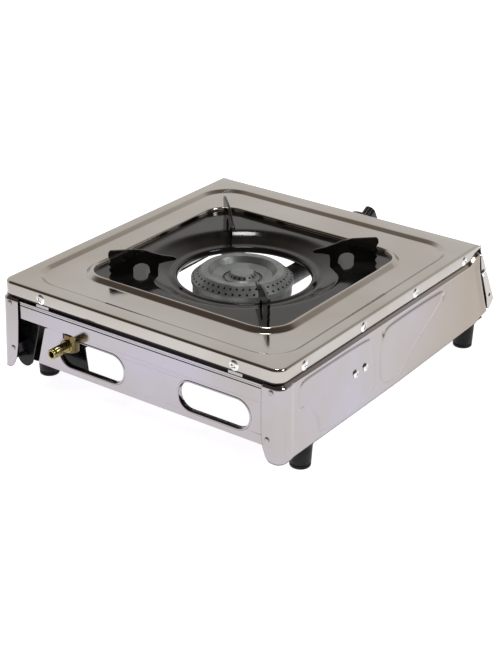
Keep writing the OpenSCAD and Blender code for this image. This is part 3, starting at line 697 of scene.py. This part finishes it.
def foot(name, node):
    low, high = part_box(node)
    cx, cy = (low.x + high.x) / 2 / MM, (low.y + high.y) / 2 / MM - SHIFT_Y
    top = high.z / MM
    r = 10.2
    profile = [
        (5.6, 9), (5.6, 0.8), (6.2, 0.1), (r - 1.4, 0), (r - 0.5, 0.25), (r, 0.9), (r + 0.1, 2),
        (r + 0.15, 3.4), (r - 0.25, 3.9), (r - 0.2, 4.6), (r + 0.25, 5.1), (r + 1.0, top - 6.4),
        (r + 1.2, top - 4.6), (r + 1.6, top - 3.6), (r + 1.9, top - 2.4), (r + 1.9, top - 0.5),
        (r + 1.5, top), (2.7, top), (2.6, 9), (5.6, 9),
    ]
    part = moved(lathe(profile), Matrix.Translation((cx, cy, 0)))
    piece = make_mesh(name, *part, LOOKS["foot_rubber"], 40)
    return add(piece, "chassis", "foot_rubber", node)


def foot_plates():
    """The turned-in tabs at the foot of both side panels, which the feet are screwed to."""
    parts = []
    r = 8
    for y0, y1, z in ((108, 160, 29), (-202, -170, 32)):
        reach = SKIN_X + flare(z) - 1.1
        for side in (-1, 1):
            outline = [(reach, y0), (reach, y1)]
            for cy, start in ((y1 - r, 90), (y0 + r, 180)):
                turns = [math.radians(start + 15 * k) for k in range(7)]
                outline += [(146 + r * math.cos(a), cy + r * math.sin(a)) for a in turns]
            points = [(side * x, y, z) for x, y in outline]
            face = tuple(range(len(points))) if side > 0 else tuple(reversed(range(len(points))))
            parts.append((points, [face]))
    piece = make_mesh("foot_plates", *merge(parts), LOOKS["side_steel"], 30)
    soften(thicken(piece, 0.95), 0.25)
    return add(piece, "chassis", "polished_steel")


# ---------- inlet ----------

def nozzle():
    low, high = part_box("hose_nozzle")
    cx, cz = (low.x + high.x) / 2 / MM, (low.z + high.z) / 2 / MM
    start, tip = low.y / MM - SHIFT_Y, high.y / MM - SHIFT_Y
    length = tip - start
    profile = [
        (2.9, 0), (4.5, 0), (4.5, 8), (6.1, 8), (6.4, 8.4), (6.4, 9.5), (6.1, 9.9), (5.2, 9.9),
        (5.2, length - 5.2), (4.9, length - 4.7), (4.75, length - 4.0), (4.85, length - 3.3),
        (5.15, length - 2.8), (5.2, length - 2.2), (5.2, length - 0.9), (4.9, length - 0.25),
        (4.4, length), (3.4, length), (3.0, length - 0.5), (2.9, length - 1.4), (2.9, 0),
    ]
    turn = Matrix.Translation((cx, start, cz)) @ Matrix.Rotation(-math.pi / 2, 4, "X")
    piece = make_mesh("nozzle", *moved(lathe(profile), turn), LOOKS["brass"], 35)
    return add(piece, "chassis", "brass", "hose_nozzle")


# ---------- slot rims ----------

def slot_rim(name, x):
    """The rolled edge round a hand slot in the back panel."""
    path = []
    half = (SLOT_W - SLOT_H) / 2
    r = SLOT_H / 2
    for centre, start in ((half, -90), (-half, 90)):
        turns = [math.radians(start + 180 * i / 20) for i in range(21)]
        path += [(x + centre + r * math.cos(a), SLOT_Z + r * math.sin(a), a) for a in turns]
    section = [
        (1.9, 0.0), (1.5, 0.42), (0.7, 0.55), (-0.1, 0.3), (-0.35, -0.5), (-0.35, -5.2), (0.2, -5.6),
        (1.1, -5.2),
    ]
    rings = [[(px + out * math.cos(a), SLOT_BACK + deep, pz + out * math.sin(a)) for out, deep in section]
             for px, pz, a in path]
    verts, faces = bridge(rings + [rings[0]])
    return add(make_mesh(name, verts, faces, LOOKS["side_steel"], 60), "chassis", "polished_steel")


# ---------- CAD nodes that show as they are ----------

# Each node's look, and how far its edges are rounded, in millimetres
EDGES = {
    "back_panel": ("side_steel", 0.35), "front_panel": ("front_steel", 0.4),
    "burner_ring_cap": ("burner_grey", 0), "burner_centre_cap": ("burner_grey", 0),
    "burner_bowl": ("cast_body", 0), "mixing_tube": ("cast_body", 0), "air_shutter": ("zinc_plate", 0),
    "burner_support_bar": ("zinc_plate", 0.4), "burner_screw": ("bright_fastener", 0),
    "foot_screws": ("bright_fastener", 0), "foot_nuts": ("bright_fastener", 0.3),
    "corner_gusset": ("black_paint", 0.5), "inlet_bracket": ("black_paint", 0.5),
    # The pipe nut and the inlet elbow take the brass that is darkened with painted shade.
    "gas_pipe": ("pipe_metal", 0), "pipe_nut": ("shaded_brass", 0.4), "inlet_elbow": ("shaded_brass", 0),
    "valve_body": ("brass", 0.5), "valve_cap_plate": ("zinc_plate", 0), "valve_clamp": ("zinc_plate", 0.4),
    "valve_screws": ("bright_fastener", 0), "valve_plug": ("brass", 0), "valve_spindle": ("zinc_plate", 0),
    "valve_spring": ("zinc_plate", 0), "jet": ("brass", 0),
    "knob": ("black_knob", 0.7), "knob_bezel": ("black_paint", 0.2),
    "pan_support_fin_1": ("black_enamel", 0.9), "pan_support_fin_2": ("black_enamel", 0.9),
    "pan_support_fin_3": ("black_enamel", 0.9), "pan_support_fin_4": ("black_enamel", 0.9),
}


def dress_nodes():
    for name, (look, edge) in EDGES.items():
        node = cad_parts[name]
        node.data.materials.clear()
        node.data.materials.append(LOOKS[look])
        node.data.shade_smooth()
        node.data.set_sharp_from_angle(angle=math.radians(30))
        if edge:
            soften(node, edge, 3)


# ---------- stage, light and camera ----------

# Level directions: away from the camera, and across its view
AHEAD = (0.5746, -0.8184, 0)
ACROSS = (0.8184, 0.5746, 0)
# The sky over the object, from the far horizon (0) over the top (0.5) to the near horizon (1)
SKY = (
    (0.0, (0.42, 0.4, 0.39)), (0.045, (0.6, 0.58, 0.56)), (0.09, (0.9, 0.87, 0.84)),
    (0.225, (0.85, 0.82, 0.785)), (0.3, (0.36, 0.31, 0.265)), (0.38, (0.13, 0.105, 0.085)),
    (0.58, (0.075, 0.055, 0.042)), (0.8, (0.06, 0.045, 0.035)), (0.92, (0.26, 0.235, 0.215)),
    (1.0, (0.42, 0.4, 0.39)),
)
# The floor's brightness, by how many metres a place lies to either side
FLOOR_GLOW = ((0.0, 1.0), (0.34, 0.97), (0.6, 0.72), (1.0, 0.5))


def fill_ramp(node, stops):
    """Gives a colour ramp its stops, each a place and a colour."""
    elements = node.color_ramp.elements
    elements[0].position = stops[0][0]
    elements[1].position = stops[-1][0]
    for position, _ in stops[1:-1]:
        elements.new(position)
    for element, (_, colour) in zip(elements, stops):
        element.color = (*colour, 1)


def glow_away(look, surface):
    """The floor is lit evenly round the object and along the middle, and falls off to the sides."""
    tree = look.node_tree
    place = tree.nodes.new("ShaderNodeTexCoord")
    across = tree.nodes.new("ShaderNodeVectorMath")
    across.operation = "DOT_PRODUCT"
    across.inputs[1].default_value = ACROSS
    away = tree.nodes.new("ShaderNodeMath")
    away.operation = "ABSOLUTE"
    ramp = tree.nodes.new("ShaderNodeValToRGB")
    fill_ramp(ramp, [(far, (0.985 * glow, 0.97 * glow, glow)) for far, glow in FLOOR_GLOW])
    tree.links.new(place.outputs["Object"], across.inputs[0])
    tree.links.new(across.outputs["Value"], away.inputs[0])
    tree.links.new(away.outputs["Value"], ramp.inputs["Fac"])
    tree.links.new(ramp.outputs["Color"], surface.inputs["Emission Color"])


def studio():
    floor_mesh = bpy.data.meshes.new("floor")
    reach = 14.0
    corners = [(x * reach, y * reach, 0) for x, y in ((-1, -1), (1, -1), (1, 1), (-1, 1))]
    floor_mesh.from_pydata(corners, [], [(0, 1, 2, 3)])
    look, surface = shader("floor", 0.0)
    surface.inputs["Base Color"].default_value = (0.7, 0.7, 0.7, 1)
    surface.inputs["Roughness"].default_value = 1.0
    surface.inputs["Emission Strength"].default_value = 0.95
    glow_away(look, surface)
    floor_mesh.materials.append(look)
    floor = bpy.data.objects.new("floor", floor_mesh)
    bpy.context.scene.collection.objects.link(floor)

    bpy.context.scene.view_settings.view_transform = "Standard"
    world = bpy.data.worlds.new("studio")
    world.use_nodes = True
    bpy.context.scene.world = world
    tree = world.node_tree
    back = tree.nodes["Background"]
    place = tree.nodes.new("ShaderNodeTexCoord")
    split = tree.nodes.new("ShaderNodeSeparateXYZ")
    ahead = tree.nodes.new("ShaderNodeVectorMath")
    ahead.operation = "DOT_PRODUCT"
    ahead.inputs[1].default_value = AHEAD
    around = tree.nodes.new("ShaderNodeMath")
    around.operation = "ARCTAN2"
    half_turn = tree.nodes.new("ShaderNodeMath")
    half_turn.operation = "DIVIDE"
    half_turn.inputs[1].default_value = math.pi
    ramp = tree.nodes.new("ShaderNodeValToRGB")
    fill_ramp(ramp, SKY)
    tree.links.new(place.outputs["Generated"], split.inputs["Vector"])
    tree.links.new(place.outputs["Generated"], ahead.inputs[0])
    tree.links.new(split.outputs["Z"], around.inputs[0])
    tree.links.new(ahead.outputs["Value"], around.inputs[1])
    tree.links.new(around.outputs["Value"], half_turn.inputs[0])
    tree.links.new(half_turn.outputs["Value"], ramp.inputs["Fac"])
    tree.links.new(ramp.outputs["Color"], back.inputs["Color"])
    back.inputs["Strength"].default_value = 1.0

    soft_box("key", (-1.9, -0.3, 2.0), 0.6, 18)
    soft_box("fill", (1.6, 1.5, 1.7), 0.5, 12)
    soft_box("back", (0.35, -0.5, 2.4), 0.35, 10)


def soft_box(name, place, size, power):
    """A square lamp over the stove. The steel doesn't mirror the fill, which would leave white streaks."""
    data = bpy.data.lights.new(name, "AREA")
    data.size = size
    data.energy = power
    lamp = bpy.data.objects.new(name, data)
    bpy.context.scene.collection.objects.link(lamp)
    lamp.location = place
    lamp.rotation_euler = (Vector((0, 0, 0.08)) - Vector(place)).to_track_quat("-Z", "Y").to_euler()
    lamp.visible_glossy = name != "fill"


def camera():
    """The camera stands behind the stove, to its left, and looks down on it. Its place and turns come
    from the straight edges in the picture."""
    yaw, pitch, roll = (math.radians(a) for a in (-54.9286, 25.5188, 0.9832))
    stand = Vector((-0.84588, 1.19792 + SHIFT_Y * MM, 0.74996))
    level = Vector((math.cos(yaw), math.sin(yaw), 0))
    forward = level * math.cos(pitch) - Vector((0, 0, math.sin(pitch)))
    right = Vector((math.sin(yaw), -math.cos(yaw), 0))
    up = right.cross(forward)
    across = right * math.cos(roll) + up * math.sin(roll)
    above = up * math.cos(roll) - right * math.sin(roll)
    data = bpy.data.cameras.new("camera")
    data.lens = 87.23
    data.sensor_width = 36
    eye = bpy.data.objects.new("camera", data)
    bpy.context.scene.collection.objects.link(eye)
    pose = Matrix((across, above, -forward)).transposed().to_4x4()
    pose.translation = stand
    eye.matrix_world = pose
    bpy.context.scene.camera = eye


camera()
studio()
cover()
for side, word in ((-1, "left"), (1, "right")):
    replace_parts(side_panel(side, f"side_skin_{word}"), f"side_panel_{word}")
tray()
all_screws()
for place in ("front_left", "front_right", "back_left", "back_right"):
    foot(f"rubber_foot_{place}", f"foot_{place}")
foot_plates()
nozzle()
slot_rim("slot_rim_left", 57.0)
slot_rim("slot_rim_right", -90.0)
dress_nodes()
